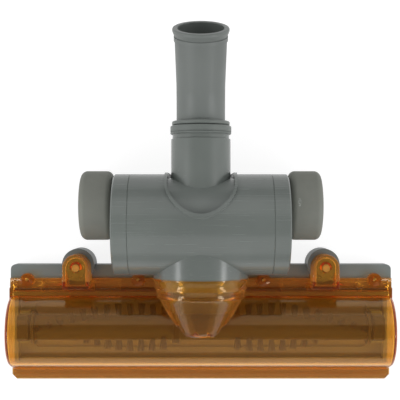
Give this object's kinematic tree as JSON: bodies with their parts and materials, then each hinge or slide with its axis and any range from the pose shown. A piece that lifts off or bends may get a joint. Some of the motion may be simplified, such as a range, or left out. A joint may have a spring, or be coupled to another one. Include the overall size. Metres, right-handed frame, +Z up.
{
  "type": "vacuum turbo brush",
  "caption": "Vacuum floor head with a clear amber cover over a turbine-driven brush roller, rear wheels and a tilting, swivelling bent neck.",
  "frame": {"origin": "on the floor under the middle of the whole head's box, from the front edge to the mouth's lip", "axes": "+X to the head's right along the brush roller, +Y back to the neck's mouth, +Z up"},
  "size_m": [0.282, 0.2604, 0.0786],
  "materials": {
    "base_plastic": "fine moulded grain",
    "clear_amber": "transparent orange, polished",
    "grey_gloss": "satin moulded plastic",
    "neck_plastic": "satin moulded plastic",
    "ring_plastic": "dark satin",
    "tyre_rubber": "matte soft rubber",
    "hub_plastic": "moulded",
    "pin_steel": "turned",
    "screw_steel": "zinc plated",
    "bronze": "oil-filled bush",
    "inner_plastic": "black moulded",
    "belt_rubber": "matte",
    "roller_plastic": "black moulded",
    "bristle_nylon": "stiff nylon filament",
    "seal_felt": "soft felt"
  },
  "bodies": {
    "head": {"base_shell": "base_plastic", "top_cover": "clear_amber", "cover_screws": "screw_steel", "ear_screws": "screw_steel", "housing_screws": "screw_steel", "turbine_housing": "grey_gloss", "end_cap_left": "grey_gloss", "end_cap_right": "grey_gloss", "wheel_pin_left": "pin_steel", "wheel_pin_right": "pin_steel", "bearing_carrier_left": "inner_plastic", "bearing_carrier_right": "inner_plastic", "turbine_bearing_left": "bronze", "turbine_bearing_right": "bronze", "drive_belt": "belt_rubber", "bearing_block_left": "inner_plastic", "bearing_block_right": "inner_plastic", "roller_bearing_left": "bronze", "roller_bearing_right": "bronze"},
    "roller": {"roller_core": "roller_plastic", "roller_pulley": "inner_plastic", "roller_pin_left": "pin_steel", "roller_pin_right": "pin_steel", "bristles_left_a": "bristle_nylon", "bristles_left_b": "bristle_nylon", "bristles_right_a": "bristle_nylon", "bristles_right_b": "bristle_nylon"},
    "turbine": {"turbine_shaft": "pin_steel", "turbine_rotor": "inner_plastic", "turbine_pulley": "pin_steel"},
    "wheel_left": {"wheel_hub_left": "hub_plastic", "tyre_left": "tyre_rubber"},
    "wheel_right": {"wheel_hub_right": "hub_plastic", "tyre_right": "tyre_rubber"},
    "elbow_joint": {"elbow": "grey_gloss", "swivel_ring": "ring_plastic", "swivel_seal": "seal_felt"},
    "neck": {"neck_tube": "neck_plastic", "neck_ring": "ring_plastic"}
  },
  "joints": [
    {"name": "roller_spin", "type": "hinge", "parent": "head", "child": "roller", "pos_m": [0, -0.08999, 0.0184], "axis": [1, 0, 0], "continuous": true},
    {"name": "turbine_spin", "type": "hinge", "parent": "head", "child": "turbine", "pos_m": [0, -0.01398, 0.038], "axis": [1, 0, 0], "continuous": true},
    {"name": "wheel_left_spin", "type": "hinge", "parent": "head", "child": "wheel_left", "pos_m": [-0.07505, -0.00048, 0.025], "axis": [1, 0, 0], "continuous": true},
    {"name": "wheel_right_spin", "type": "hinge", "parent": "head", "child": "wheel_right", "pos_m": [0.07505, -0.00048, 0.025], "axis": [1, 0, 0], "continuous": true},
    {"name": "neck_tilt", "type": "hinge", "parent": "head", "child": "elbow_joint", "pos_m": [0, -0.01398, 0.038], "axis": [1, 0, 0], "range_deg": [0, 38]},
    {"name": "neck_swivel", "type": "hinge", "parent": "elbow_joint", "child": "neck", "pos_m": [0, 0.05202, 0.038], "axis": [0, 1, 0], "continuous": true}
  ],
  "couplings": [
    {"joint": "turbine_spin", "follows": "roller_spin", "ratio": 2.2222}
  ]
}
